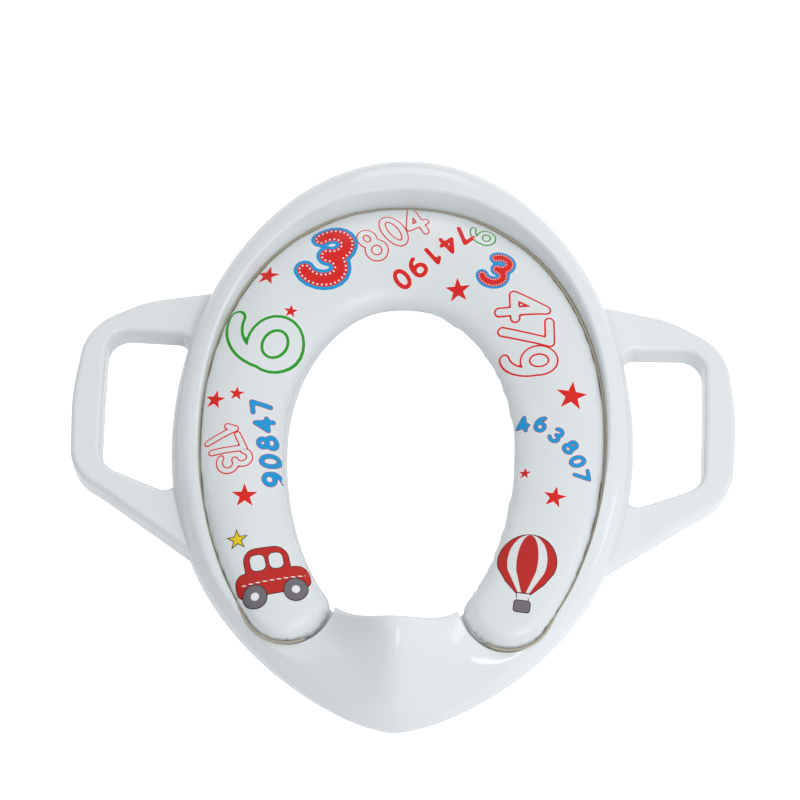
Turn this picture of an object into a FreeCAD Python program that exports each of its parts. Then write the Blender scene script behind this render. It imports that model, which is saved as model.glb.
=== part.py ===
import FreeCAD, Part
import math
import os
from FreeCAD import Vector

# Padded potty training seat that lies on an adult toilet seat. Millimetres.
# X runs across the seat, +Y to its rear, +Z up. The guard faces -Y.
# Sizes are from the widest place of the shell and from the plane that the locating skirt stands on.

# Moulded shell, seen from above
SHELL_HALF_WIDTH = 139.5
SHELL_REAR = 184.8
SHELL_FRONT = 179.3
NOSE_POWER = 1.64
WALL = 2.5

# Levels, from the foot of the locating skirt up
FLANGE_Z = 20.0
DECK_Z = 38.0
SIDE_RIM_Z = 54.0
REAR_RIM_Z = 67.0
REAR_RISE_POWER = 1.7
SHOULDER_Z = 47.0
SHOULDER_Y = 112.0
NOSE_Z = 34.0
GUARD_Z = 77.0

# Roll of the rim, from the outer wall over to the crest
ROLL_WIDTH = 15.0
REAR_ROLL_WIDTH = 22.0
SHOULDER_ROLL_WIDTH = 7.0
NOSE_ROLL_WIDTH = 20.0
SHOULDER_ROLL_START = -40.0
SHOULDER_ROLL_RUN = 80.0
NOSE_ROLL_START = -135.0
ROLL_HEIGHT = 18.0
ROLL_SHARE = 0.6
ROLL_STEPS = 8
WALL_STEPS = 4
RIM_EDGE_RADIUS = 2.6
MOUTH_MEETING_TURN = 68.0
MOUTH_STEPS = 5

# Middle of the dome before the seat opening is cut, as shares of that opening, and the rows up to it
MIDDLE_WIDTH_SHARE = 0.55
MIDDLE_FRONT_SHARE = 0.75
MIDDLE_REAR_SHARE = 0.6
SUMMIT_SHARE = 0.8
SLOPE_STEPS = 10
FIRST_SLOPE_STEP = 3
OUTLINE_POINTS = 64

# Splash guard: broad and round at its lip, and drawn in to a ridge as it runs down to the nose
GUARD_SPREAD = 31.0
GUARD_FOOT_SPREAD = 9.0
GUARD_RUN = 66.0
GUARD_LEAD = 0.06
GUARD_FULLNESS = 2.2
GUARD_RIDGE_FULLNESS = 1.15
GUARD_RIDGE_START = 4.0
GUARD_RIDGE_RADIUS = 10.0
GUARD_BACK_Y = 70.0
GUARD_BACK_RUN = 35.0
LIP_RADIUS = 2.0
LIP_DEPTH = 5.0

# Seat opening of the shell, which the cushion overhangs at the sides and at the rear
OPENING_MID_Y = -8.0
OPENING_HALF_WIDTH = 72.0
OPENING_FRONT = 117.5
OPENING_FRONT_POWER = 2.3
OPENING_REAR = 96.5
CUSHION_SIDE_OVERHANG = 3.8
CUSHION_REAR_OVERHANG = 2.0
CUSHION_HOLE_FRONT = 120.0

# Cushion
CUSHION_HALF_WIDTH = 119.5
CUSHION_REAR = 151.0
CUSHION_REAR_POWER = 2.15
CUSHION_FRONT_REACH = 171.0
CUSHION_END_X = 63.0
CUSHION_END_Y = -108.5
CUSHION_END_RADIUS = 25.0
CUSHION_HEIGHT = 16.0
CUSHION_ROLL_WIDTH = 12.0
CUSHION_ROLL_HEIGHT = 10.0
COVER_THICKNESS = 0.8
COVER_HEM = 8.0
CUSHION_BASE_THICKNESS = 2.5
CUSHION_CLEARANCE = 2.0

# Turns in degrees at which the cushion's outline has its points: outer side, round end, seat opening
SIDE_TURNS = range(90, -42, -6)
END_TURNS = range(-27, -175, -18)
HOLE_TURNS = range(-54, 91, 6)

# Lean of the pocket wall over this height, at the sides and, past a change-over, at the rear
POCKET_WALL_HEIGHT = 40.0
POCKET_SIDE_LEAN = 3.0
POCKET_REAR_LEAN = 8.0
LEAN_CHANGE_START = -20.0
LEAN_CHANGE_RUN = 150.0

# Locating skirt that drops into the opening of the adult seat
SKIRT_HALF_WIDTH = 86.0
SKIRT_REAR = 114.0
SKIRT_FRONT = 120.0

# Handles
HANDLE_TOP_Z = 38.0
HANDLE_EDGE_RADIUS = 3.5

# Corners of a handle and of its grip hole in the order of the outline, each its distance outside
# the shell's widest place, its y and its corner radius
HANDLE_CORNERS = (
    (-39.5, 99.0, 8.0),
    (22.5, 87.5, 60.0),
    (58.2, 68.5, 35.0),
    (63.0, 22.0, 147.0),
    (59.6, -28.0, 28.0),
    (38.5, -41.0, 52.0),
    (-39.5, -94.0, 8.0),
)
GRIP_HOLE_CORNERS = (
    (-5.5, 65.5, 8.0),
    (44.6, 66.5, 13.5),
    (43.9, 22.0, 150.0),
    (42.0, -23.4, 16.0),
    (-5.5, -42.0, 8.0),
)

# Ribs under the deck
RIB_THICKNESS = 2.0
RIB_BOTTOM_Z = 24.0
RIB_ANGLES = (70.0, 42.0, 18.0, -7.0, -40.0)

# Anti-slip pads and their sockets
PAD_LENGTH = 36.0
PAD_WIDTH = 14.0
PAD_HEIGHT = 7.0
PAD_PROUD = 1.5
PAD_EDGE_RADIUS = 1.0
PAD_CLEARANCE = 0.15
PAD_X = SKIRT_HALF_WIDTH + 18.0
PAD_REAR_Y = 55.0
PAD_FRONT_Y = -50.0
SOCKET_WALL = 2.0

# Snap pegs of the cushion base, on an oval set in from the cushion's edge and in its front ends
PEG_SIDE_INSET = 15.5
PEG_REAR_INSET = 25.0
PEG_TURNS = (90.0, 45.0, 0.0)
PEG_RADIUS = 3.0
PEG_HOLE_CLEARANCE = 0.3
PEG_HEAD_RADIUS = 3.9
PEG_TIP_RADIUS = 2.2
PEG_HEAD_HEIGHT = 4.0
PEG_NECK_GAP = 0.2

# Top of the cutting solids, how far a cut runs past a face, and what counts as touching
ABOVE_ALL = 140.0
CUT_PAST = 1.0
TOUCHING = 0.1
SAME_PLACE = 0.01


def smooth(share):
    """Ease from 0 to 1 with level ends."""
    share = max(0.0, min(1.0, share))
    return share * share * (3 - 2 * share)


def oval(half_width, front, rear, mid_y=0.0, front_power=2.0):
    """Points round an oval from its rear, whose front and rear halves have their own reach and fullness."""
    points = []
    for i in range(OUTLINE_POINTS):
        turn = 2 * math.pi * i / OUTLINE_POINTS
        across, along = math.sin(turn), math.cos(turn)
        power, reach = 2.0, rear
        if along < 0:
            power, reach = 2.0 + (front_power - 2.0) * along ** 2, front
        x = half_width * math.copysign(abs(across) ** (2 / power), across)
        y = mid_y + reach * math.copysign(abs(along) ** (2 / power), along)
        points.append((x, y))
    return points


def outward(points):
    """Unit vectors that point out of a closed outline, one for each point."""
    count = len(points)
    area = sum(points[i - 1][0] * points[i][1] - points[i][0] * points[i - 1][1] for i in range(count))
    normals = []
    for i in range(count):
        before, after = points[i - 1], points[(i + 1) % count]
        along_x, along_y = after[0] - before[0], after[1] - before[1]
        length = math.copysign(math.hypot(along_x, along_y), area)
        normals.append((along_y / length, -along_x / length))
    return normals


def grown(points, by):
    """The closed outline moved outwards."""
    return [(x + by * nx, y + by * ny) for (x, y), (nx, ny) in zip(points, outward(points))]


def mirrored(shape):
    return shape.mirror(Vector(0, 0, 0), Vector(1, 0, 0))


def half_curve(points, heights):
    """The right half of a smooth closed curve, evenly paced so that the rows of one skin match."""
    if not isinstance(heights, list):
        heights = [heights] * len(points)
    curve = Part.BSplineCurve()
    places = [Vector(x, y, z) for (x, y), z in zip(points, heights)]
    curve.interpolate(Points=places, PeriodicFlag=True, Parameters=list(range(len(points) + 1)))
    curve.segment(0, len(points) / 2)
    return curve


def closed_wire(points, heights):
    edge = half_curve(points, heights).toShape()
    return Part.Wire([edge, mirrored(edge)])


def skin(rows):
    """Right and left faces through closed rows, each a list of places and their heights."""
    curves = [half_curve(points, heights) for points, heights in rows]
    poles = [curve.getPoles() for curve in curves]
    pace = [0.0]
    for below, above in zip(poles, poles[1:]):
        gaps = [a.distanceToPoint(b) for a, b in zip(below, above)]
        pace.append(pace[-1] + sum(gaps) / len(gaps))
    columns = []
    for index in range(len(poles[0])):
        column = Part.BSplineCurve()
        column.interpolate(Points=[row[index] for row in poles], Parameters=pace)
        columns.append(column)
    surface = Part.BSplineSurface()
    surface.buildFromPolesMultsKnots(
        [column.getPoles() for column in columns],
        curves[0].getMultiplicities(), columns[0].getMultiplicities(),
        curves[0].getKnots(), columns[0].getKnots(), False, False, curves[0].Degree, columns[0].Degree)
    face = surface.toShape()
    return [face, mirrored(face)]


def prism(points, bottom, top):
    return Part.Face(closed_wire(points, bottom)).extrude(Vector(0, 0, top - bottom))


def closed_solid(faces):
    shell = Part.Shell(faces)
    shell.sewShape()
    return Part.Solid(shell)


def only_solid(shape):
    if len(shape.Solids) != 1:
        raise ValueError(f"expected one solid, found {len(shape.Solids)}")
    return shape.Solids[0]


def cushion_outline():
    """The horseshoe of the cushion: outer curve, round front end, seat opening, mirrored."""
    right = []
    for degrees in SIDE_TURNS:
        across, along = max(0.0, math.cos(math.radians(degrees))), math.sin(math.radians(degrees))
        if along >= 0:
            power = 2 / CUSHION_REAR_POWER
            right.append((CUSHION_HALF_WIDTH * across ** power, CUSHION_REAR * along ** power))
        else:
            right.append((CUSHION_HALF_WIDTH * across, CUSHION_FRONT_REACH * along))
    for degrees in END_TURNS:
        x = CUSHION_END_X + CUSHION_END_RADIUS * math.cos(math.radians(degrees))
        y = CUSHION_END_Y + CUSHION_END_RADIUS * math.sin(math.radians(degrees))
        right.append((x, y))
    for degrees in HOLE_TURNS:
        across, along = max(0.0, math.cos(math.radians(degrees))), math.sin(math.radians(degrees))
        reach = OPENING_REAR - CUSHION_REAR_OVERHANG if along >= 0 else CUSHION_HOLE_FRONT
        right.append(((OPENING_HALF_WIDTH - CUSHION_SIDE_OVERHANG) * across, OPENING_MID_Y + reach * along))
    left = [(-x, y) for x, y in reversed(right[1:-1])]
    return right + left


SHELL_OUTLINE = oval(SHELL_HALF_WIDTH, SHELL_FRONT, SHELL_REAR, front_power=NOSE_POWER)
OPENING_OUTLINE = oval(OPENING_HALF_WIDTH, OPENING_FRONT, OPENING_REAR, OPENING_MID_Y, OPENING_FRONT_POWER)
SKIRT_OUTLINE = oval(SKIRT_HALF_WIDTH, SKIRT_FRONT, SKIRT_REAR, OPENING_MID_Y, OPENING_FRONT_POWER)
CUSHION_OUTLINE = cushion_outline()
DECK_UNDERSIDE = DECK_Z - WALL


def top_height(x, y):
    """Height of the shell's crest and of the guard over the place (x, y)."""
    if y >= 0:
        level = SIDE_RIM_Z + (REAR_RIM_Z - SIDE_RIM_Z) * (y / SHELL_REAR) ** REAR_RISE_POWER
    else:
        level = SIDE_RIM_Z - (SIDE_RIM_Z - SHOULDER_Z) * smooth(-y / SHOULDER_Y)
    level -= (SHOULDER_Z - NOSE_Z) * smooth((-SHOULDER_Y - y) / (SHELL_FRONT - SHOULDER_Y))
    run = (OPENING_MID_Y - OPENING_FRONT - y) / GUARD_RUN
    rise = (GUARD_Z - SHOULDER_Z) * (1.0 - smooth(GUARD_LEAD + run))
    spread = GUARD_SPREAD + (GUARD_FOOT_SPREAD - GUARD_SPREAD) * smooth(run)
    fullness = GUARD_FULLNESS + (GUARD_RIDGE_FULLNESS - GUARD_FULLNESS) * smooth(GUARD_RIDGE_START * run)
    fade = smooth((-y - GUARD_BACK_Y) / GUARD_BACK_RUN)
    middle = (GUARD_RIDGE_RADIUS / spread) ** fullness
    return level + fade * rise * math.exp(middle - (math.hypot(x, GUARD_RIDGE_RADIUS) / spread) ** fullness)


def roll_width(y):
    """Width of the roll: broad at the rear, narrow beside the cushion's ends, broad again on the nose."""
    width = ROLL_WIDTH + (REAR_ROLL_WIDTH - ROLL_WIDTH) * smooth(y / SHELL_REAR)
    width -= (ROLL_WIDTH - SHOULDER_ROLL_WIDTH) * smooth((SHOULDER_ROLL_START - y) / SHOULDER_ROLL_RUN)
    nose_share = smooth((NOSE_ROLL_START - y) / (SHELL_FRONT + NOSE_ROLL_START))
    return width + (NOSE_ROLL_WIDTH - SHOULDER_ROLL_WIDTH) * nose_share


def dome(inset, bottom):
    """The shell's outer form as a solid, or the same form set in by a wall."""
    edge = grown(SHELL_OUTLINE, -inset)
    inner = oval(MIDDLE_WIDTH_SHARE * OPENING_HALF_WIDTH, MIDDLE_FRONT_SHARE * OPENING_FRONT,
                 MIDDLE_REAR_SHARE * OPENING_REAR, OPENING_MID_Y)
    rows = []
    for step in range(ROLL_STEPS + 1):
        turn = 0.5 * math.pi * step / ROLL_STEPS
        points, heights = [], []
        for (x, y), (inner_x, inner_y) in zip(edge, inner):
            width = roll_width(y) - inset
            share = width * (1 - math.cos(turn)) / math.hypot(inner_x - x, inner_y - y)
            place = (x + share * (inner_x - x), y + share * (inner_y - y))
            crest = top_height(*place)
            drop = min(ROLL_HEIGHT, ROLL_SHARE * (crest - FLANGE_Z)) - inset
            points.append(place)
            heights.append(crest - inset - drop * (1 - math.sin(turn)))
        rows.append((points, heights))
    wall_tops = rows[0][1]
    for step in range(WALL_STEPS):
        share = step / WALL_STEPS
        rows.insert(step, (edge, [bottom + share * (top - bottom) for top in wall_tops]))
    for step in range(FIRST_SLOPE_STEP, SLOPE_STEPS + 1):
        share = step / SLOPE_STEPS
        points = [(x + share * (ix - x), y + share * (iy - y)) for (x, y), (ix, iy) in zip(edge, inner)]
        rows.append((points, [top_height(*place) - inset for place in points]))
    summit = [(SUMMIT_SHARE * x, SUMMIT_SHARE * y) for x, y in inner]
    rows.append((summit, [SIDE_RIM_Z - inset] * len(summit)))
    caps = [Part.Face(closed_wire(*rows[0])), Part.Face(closed_wire(*rows[-1]))]
    return closed_solid(skin(rows) + caps)


def pocket_ring(heights, out):
    """The pocket wall's line at the given heights, moved out by a distance."""
    points = []
    for (x, y), (nx, ny), z in zip(CUSHION_OUTLINE, outward(CUSHION_OUTLINE), heights):
        rear_share = smooth((y - LEAN_CHANGE_START) / LEAN_CHANGE_RUN)
        lean = POCKET_SIDE_LEAN + (POCKET_REAR_LEAN - POCKET_SIDE_LEAN) * rear_share
        step = CUSHION_CLEARANCE + out + lean * (z - DECK_Z) / POCKET_WALL_HEIGHT
        points.append((x + step * nx, y + step * ny))
    return points


def skin_height(form, x, y):
    """Height over the place (x, y) of the form's skin, whose right half starts on the middle line."""
    place = max(abs(x), SAME_PLACE)
    line = Part.Line(Vector(place, y, 0.0), Vector(place, y, ABOVE_ALL))
    return max(point.Z for face in form.Faces for point in line.intersectCS(face.Surface)[0])


def pocket(form):
    """The recess for the cushion, with a rounded mouth that follows the rim."""
    meeting = math.radians(MOUTH_MEETING_TURN)
    crests = [top_height(x, y) for x, y in grown(CUSHION_OUTLINE, CUSHION_CLEARANCE)]
    crossing = pocket_ring(crests, RIM_EDGE_RADIUS * (1 - math.cos(meeting)))
    foot = [skin_height(form, x, y) - RIM_EDGE_RADIUS * math.sin(meeting) for x, y in crossing]
    floor = (pocket_ring([DECK_Z] * len(foot), 0.0), [DECK_Z] * len(foot))
    rows = []
    for step in range(MOUTH_STEPS + 1):
        turn = 0.5 * math.pi * step / MOUTH_STEPS
        line = pocket_ring(foot, RIM_EDGE_RADIUS * (1 - math.cos(turn)))
        rows.append((line, [z + RIM_EDGE_RADIUS * math.sin(turn) for z in foot]))
    ceiling = (line, [ABOVE_ALL] * len(foot))
    caps = [Part.Face(closed_wire(*floor)), Part.Face(closed_wire(*ceiling))]
    return closed_solid(skin([floor, rows[0]]) + skin(rows) + skin([rows[-1], ceiling]) + caps)


def pocket_block():
    """The pocket and the wall round it, as one block that the hollow of the shell stays out of."""
    count = len(CUSHION_OUTLINE)
    foot = (pocket_ring([DECK_UNDERSIDE] * count, WALL), [DECK_UNDERSIDE] * count)
    head = (pocket_ring([ABOVE_ALL] * count, WALL), [ABOVE_ALL] * count)
    return closed_solid(skin([foot, head]) + [Part.Face(closed_wire(*foot)), Part.Face(closed_wire(*head))])


def rounded_outline(corners, z):
    """A closed wire of straight lines with an arc of its own radius at each corner."""
    count = len(corners)
    places = [Vector(SHELL_HALF_WIDTH + out, y, z) for out, y, _ in corners]
    cuts = []
    for i, (_, _, radius) in enumerate(corners):
        here = places[i]
        back = (places[i - 1] - here).normalize()
        ahead = (places[(i + 1) % count] - here).normalize()
        half = 0.5 * back.getAngle(ahead)
        reach = radius / math.tan(half)
        middle = here + (back + ahead).normalize() * (radius / math.sin(half) - radius)
        cuts.append((here + back * reach, middle, here + ahead * reach))
    edges = []
    for i, (start, middle, end) in enumerate(cuts):
        edges.append(Part.Arc(start, middle, end).toShape())
        following = cuts[(i + 1) % count][0]
        if end.distanceToPoint(following) > SAME_PLACE:
            edges.append(Part.makeLine(end, following))
    return Part.Wire(edges)


def handle_prism(corners, by, bottom, top):
    wire = rounded_outline(corners, bottom)
    if by:
        wire = wire.makeOffset2D(by)
    return Part.Face(wire).extrude(Vector(0, 0, top - bottom))


def handle():
    """One handle: a channel open below, whose loop leaves room for a small hand."""
    outside = handle_prism(HANDLE_CORNERS, 0.0, FLANGE_Z, HANDLE_TOP_Z)
    grip_hole = handle_prism(GRIP_HOLE_CORNERS, 0.0, FLANGE_Z - CUT_PAST, HANDLE_TOP_Z + CUT_PAST)
    bar = outside.cut(grip_hole)
    at_top = [e for e in bar.Edges if e.BoundBox.ZMin > HANDLE_TOP_Z - TOUCHING]
    bar = bar.makeFillet(HANDLE_EDGE_RADIUS, [e for e in at_top if e.BoundBox.XMax > SHELL_HALF_WIDTH])
    hollow = handle_prism(HANDLE_CORNERS, -WALL, FLANGE_Z - CUT_PAST, HANDLE_TOP_Z - WALL)
    below_hollow = FLANGE_Z - 2 * CUT_PAST
    hollow = hollow.cut(handle_prism(GRIP_HOLE_CORNERS, WALL, below_hollow, HANDLE_TOP_Z))
    hollow = hollow.cut(prism(SHELL_OUTLINE, below_hollow, HANDLE_TOP_Z))
    bar = bar.cut(hollow)
    return bar.cut(prism(grown(SHELL_OUTLINE, -WALL / 2), below_hollow, ABOVE_ALL))


def rib(angle):
    """An upright web from the skirt to the outer wall."""
    middle = Vector(0, OPENING_MID_Y, 0)
    web = Part.makeBox(2 * SHELL_REAR, RIB_THICKNESS, DECK_Z - WALL / 2 - RIB_BOTTOM_Z,
                       Vector(0, OPENING_MID_Y - RIB_THICKNESS / 2, RIB_BOTTOM_Z))
    web.rotate(middle, Vector(0, 0, 1), angle)
    web = web.common(prism(grown(SHELL_OUTLINE, -WALL / 2), 0.0, ABOVE_ALL))
    return web.cut(prism(grown(SKIRT_OUTLINE, WALL / 2), 0.0, ABOVE_ALL))


def centred_box(x, y, length_x, length_y, bottom, top):
    corner = Vector(x - length_x / 2, y - length_y / 2, bottom)
    return Part.makeBox(length_x, length_y, top - bottom, corner)


def pad_socket(x, y):
    """A four-sided socket under the deck with a floor that the rubber pad presses on."""
    inside_x, inside_y = PAD_WIDTH + 2 * PAD_CLEARANCE, PAD_LENGTH + 2 * PAD_CLEARANCE
    outside = centred_box(x, y, inside_x + 2 * SOCKET_WALL, inside_y + 2 * SOCKET_WALL,
                          FLANGE_Z, DECK_Z - WALL / 2)
    floor_z = FLANGE_Z - PAD_PROUD + PAD_HEIGHT
    mouth = centred_box(x, y, inside_x, inside_y, FLANGE_Z - CUT_PAST, floor_z)
    above = centred_box(x, y, inside_x, inside_y, floor_z + SOCKET_WALL, DECK_UNDERSIDE)
    return outside.cut(mouth).cut(above)


def both_sides(places):
    """Each place and its mirror image; a place on the middle line stands alone."""
    found = []
    for x, y in places:
        found.append((x, y))
        if x > TOUCHING:
            found.append((-x, y))
    return found


def peg_places():
    """Middle of each snap peg, from the rear round the right side to the front end."""
    places = []
    for degrees in PEG_TURNS:
        across, along = math.cos(math.radians(degrees)), math.sin(math.radians(degrees))
        places.append(((CUSHION_HALF_WIDTH - PEG_SIDE_INSET) * across, (CUSHION_REAR - PEG_REAR_INSET) * along))
    return both_sides(places + [(CUSHION_END_X, CUSHION_END_Y)])


def seat_shell():
    form = only_solid(dome(0.0, FLANGE_Z))
    opening = prism(OPENING_OUTLINE, 0.0, ABOVE_ALL)
    outside = only_solid(form.cut(opening))
    high = [e for e in outside.Edges if e.BoundBox.ZMax > GUARD_Z - LIP_DEPTH]
    lip = [e for e in high if e.BoundBox.XLength > LIP_RADIUS]
    outside = only_solid(outside.makeFillet(LIP_RADIUS, lip).cut(pocket(form)))
    hollow = dome(WALL, FLANGE_Z - CUT_PAST).cut(pocket_block())
    hollow = hollow.cut(prism(grown(OPENING_OUTLINE, WALL), DECK_UNDERSIDE, ABOVE_ALL))
    hollow = hollow.cut(prism(grown(SKIRT_OUTLINE, WALL), 0.0, DECK_Z))
    walls = outside.cut(hollow).cut(prism(SKIRT_OUTLINE, 0.0, DECK_UNDERSIDE))
    skirt = prism(grown(SKIRT_OUTLINE, WALL), 0.0, DECK_UNDERSIDE + WALL / 2)
    skirt = skirt.cut(prism(SKIRT_OUTLINE, -CUT_PAST, DECK_UNDERSIDE)).cut(opening)
    grip = handle()
    added = [skirt, grip, mirrored(grip)]
    for angle in RIB_ANGLES:
        added += [rib(angle), mirrored(rib(angle))]
    for x, y in both_sides(((PAD_X, PAD_REAR_Y), (PAD_X, PAD_FRONT_Y))):
        added.append(pad_socket(x, y))
    whole = walls.fuse(added)
    for x, y in peg_places():
        hole = Part.makeCylinder(PEG_RADIUS + PEG_HOLE_CLEARANCE, WALL + 2 * CUT_PAST,
                                 Vector(x, y, DECK_UNDERSIDE - CUT_PAST))
        whole = whole.cut(hole)
    return only_solid(whole)


def cushion_block(inset, bottom, top):
    """The cushion's form set in by a thickness, rolled over to its crown all the way round."""
    edge = grown(CUSHION_OUTLINE, -inset)
    roll_height = CUSHION_ROLL_HEIGHT - inset
    rows = []
    for step in range(ROLL_STEPS + 1):
        turn = 0.5 * math.pi * step / ROLL_STEPS
        line = grown(edge, -(CUSHION_ROLL_WIDTH - inset) * (1 - math.cos(turn)))
        rows.append((line, [top - roll_height * (1 - math.sin(turn))] * len(line)))
    foot = (edge, [bottom] * len(edge))
    caps = [Part.Face(closed_wire(*foot)), Part.Face(closed_wire(*rows[-1]))]
    return closed_solid(skin([foot, rows[0]]) + skin(rows) + caps)


CUSHION_TOP = DECK_Z + CUSHION_HEIGHT
BASE_BOTTOM = DECK_Z + COVER_THICKNESS
BASE_TOP = BASE_BOTTOM + CUSHION_BASE_THICKNESS


def cushion_cover():
    """Printed skin drawn over the foam and turned in under the edge of the base."""
    outside = cushion_block(0.0, DECK_Z, CUSHION_TOP)
    inside = cushion_block(COVER_THICKNESS, BASE_BOTTOM, CUSHION_TOP - COVER_THICKNESS)
    middle = prism(grown(CUSHION_OUTLINE, -COVER_HEM), DECK_Z - CUT_PAST, BASE_BOTTOM + TOUCHING)
    return only_solid(outside.cut(inside).cut(middle))


def cushion_foam():
    inside = cushion_block(COVER_THICKNESS, BASE_BOTTOM, CUSHION_TOP - COVER_THICKNESS)
    return only_solid(inside.cut(prism(grown(CUSHION_OUTLINE, CUT_PAST), 0.0, BASE_TOP)))


def peg(x, y):
    """A shank through the deck with a snap head below it."""
    neck = DECK_UNDERSIDE - PEG_NECK_GAP
    shank = Part.makeCylinder(PEG_RADIUS, BASE_BOTTOM - neck, Vector(x, y, neck))
    head = Part.makeCone(PEG_TIP_RADIUS, PEG_HEAD_RADIUS, PEG_HEAD_HEIGHT, Vector(x, y, neck - PEG_HEAD_HEIGHT))
    return [shank, head]


def cushion_base():
    """Stiff plate under the foam; its thicker middle rests on the deck inside the hem."""
    plate = prism(grown(CUSHION_OUTLINE, -COVER_THICKNESS), BASE_BOTTOM, BASE_TOP)
    step = prism(grown(CUSHION_OUTLINE, -COVER_HEM), DECK_Z, BASE_BOTTOM)
    pegs = [piece for x, y in peg_places() for piece in peg(x, y)]
    return only_solid(plate.fuse([step] + pegs))


def anti_slip_pad(x, y):
    bottom = FLANGE_Z - PAD_PROUD
    pad = centred_box(x, y, PAD_WIDTH, PAD_LENGTH, bottom, bottom + PAD_HEIGHT)
    lower = [e for e in pad.Edges if e.BoundBox.ZMax < bottom + TOUCHING]
    return pad.makeFillet(PAD_EDGE_RADIUS, lower)


def write(name, shape):
    """The origin of the written part is under the middle of the shell's length."""
    shape.translate(Vector(0, (SHELL_FRONT - SHELL_REAR) / 2, 0))
    shape.exportStep(os.path.join("parts", name + ".step"))


def main():
    os.makedirs("parts", exist_ok=True)
    write("seat_shell", seat_shell())
    write("cushion_cover", cushion_cover())
    write("cushion_foam", cushion_foam())
    write("cushion_base", cushion_base())
    for side, x in (("right", PAD_X), ("left", -PAD_X)):
        write(f"anti_slip_pad_rear_{side}", anti_slip_pad(x, PAD_REAR_Y))
        write(f"anti_slip_pad_front_{side}", anti_slip_pad(x, PAD_FRONT_Y))


main()
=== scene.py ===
import math

import bmesh
import bpy
import numpy as np
from mathutils import Matrix, Vector, noise
from mathutils.bvhtree import BVHTree


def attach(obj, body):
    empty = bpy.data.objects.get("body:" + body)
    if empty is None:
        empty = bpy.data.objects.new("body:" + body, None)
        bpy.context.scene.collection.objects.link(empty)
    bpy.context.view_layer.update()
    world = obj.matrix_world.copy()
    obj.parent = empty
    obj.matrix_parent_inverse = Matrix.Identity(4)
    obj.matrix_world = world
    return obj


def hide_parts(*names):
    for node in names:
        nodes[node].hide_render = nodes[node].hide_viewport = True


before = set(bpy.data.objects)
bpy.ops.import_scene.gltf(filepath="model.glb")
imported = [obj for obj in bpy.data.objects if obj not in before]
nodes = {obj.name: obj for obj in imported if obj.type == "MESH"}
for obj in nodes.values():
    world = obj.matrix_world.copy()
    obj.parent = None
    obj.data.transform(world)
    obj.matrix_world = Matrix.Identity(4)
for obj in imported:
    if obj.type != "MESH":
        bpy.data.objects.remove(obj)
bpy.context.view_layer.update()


def linear(code):
    """The linear colour of an sRGB hex value."""
    parts = [int(code[i:i + 2], 16) / 255 for i in (1, 3, 5)]
    return tuple(c / 12.92 if c <= 0.04045 else ((c + 0.055) / 1.055) ** 2.4 for c in parts) + (1.0,)


def add(tree, kind, links=None, **settings):
    """Adds a node, sets its properties and sockets, and joins its inputs to other nodes' outputs."""
    node = tree.nodes.new(kind)
    for name, value in settings.items():
        setattr(node, name, value)
    for socket, source in (links or {}).items():
        if isinstance(source, bpy.types.NodeSocket):
            tree.links.new(source, node.inputs[socket])
        else:
            node.inputs[socket].default_value = source
    return node


# Sockets of a colour Mix node, whose names are shared with its sockets for other data
SHARE, LOW, HIGH, MIXED = 0, 6, 7, 2

# Length of one band of the Wave texture at scale 1
WAVE_LENGTH = 0.314

# Real sizes that patterns are drawn to, in metres
FOAM_CELL = 0.0008
RIB_SPACING = 0.0016


def new_material(name):
    """A material with its Principled shader and the piece's own coordinates."""
    material = bpy.data.materials.new(name)
    material.use_nodes = True
    tree = material.node_tree
    shader = tree.nodes["Principled BSDF"]
    place = add(tree, "ShaderNodeTexCoord").outputs["Object"]
    return material, tree, shader, place


def gloss_polypropylene():
    """Injection-moulded white PP: a clean gloss, faintly wavy from shrinkage, with fine handling haze."""
    material, tree, shader, place = new_material("gloss_polypropylene")
    cloud = add(tree, "ShaderNodeTexNoise", {"Vector": place, "Scale": 14.0, "Detail": 2.0})
    tone = add(tree, "ShaderNodeMix",
               {SHARE: cloud.outputs["Fac"], LOW: linear("#E9EDEE"), HIGH: linear("#EDF1F2")},
               data_type="RGBA")
    haze = add(tree, "ShaderNodeMapRange", {"Value": cloud.outputs["Fac"], "To Min": 0.10, "To Max": 0.15})
    wave = add(tree, "ShaderNodeTexNoise", {"Vector": place, "Scale": 35.0, "Detail": 1.0})
    bump = add(tree, "ShaderNodeBump",
               {"Height": wave.outputs["Fac"], "Strength": 0.05, "Distance": 0.001})
    tree.links.new(tone.outputs[MIXED], shader.inputs["Base Color"])
    tree.links.new(haze.outputs["Result"], shader.inputs["Roughness"])
    tree.links.new(bump.outputs["Normal"], shader.inputs["Normal"])
    shader.inputs["IOR"].default_value = 1.49
    return material


def matt_polypropylene():
    """The cushion's base plate, moulded in PP with a spark-eroded matt face."""
    material, tree, shader, place = new_material("matt_polypropylene")
    grain = add(tree, "ShaderNodeTexNoise", {"Vector": place, "Scale": 900.0, "Detail": 2.0})
    bump = add(tree, "ShaderNodeBump",
               {"Height": grain.outputs["Fac"], "Strength": 0.2, "Distance": 0.0003})
    tone = add(tree, "ShaderNodeMix",
               {SHARE: grain.outputs["Fac"], LOW: linear("#DCDEDF"), HIGH: linear("#E6E8E9")},
               data_type="RGBA")
    tree.links.new(tone.outputs[MIXED], shader.inputs["Base Color"])
    tree.links.new(bump.outputs["Normal"], shader.inputs["Normal"])
    shader.inputs["Roughness"].default_value = 0.5
    shader.inputs["IOR"].default_value = 1.49
    return material


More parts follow.
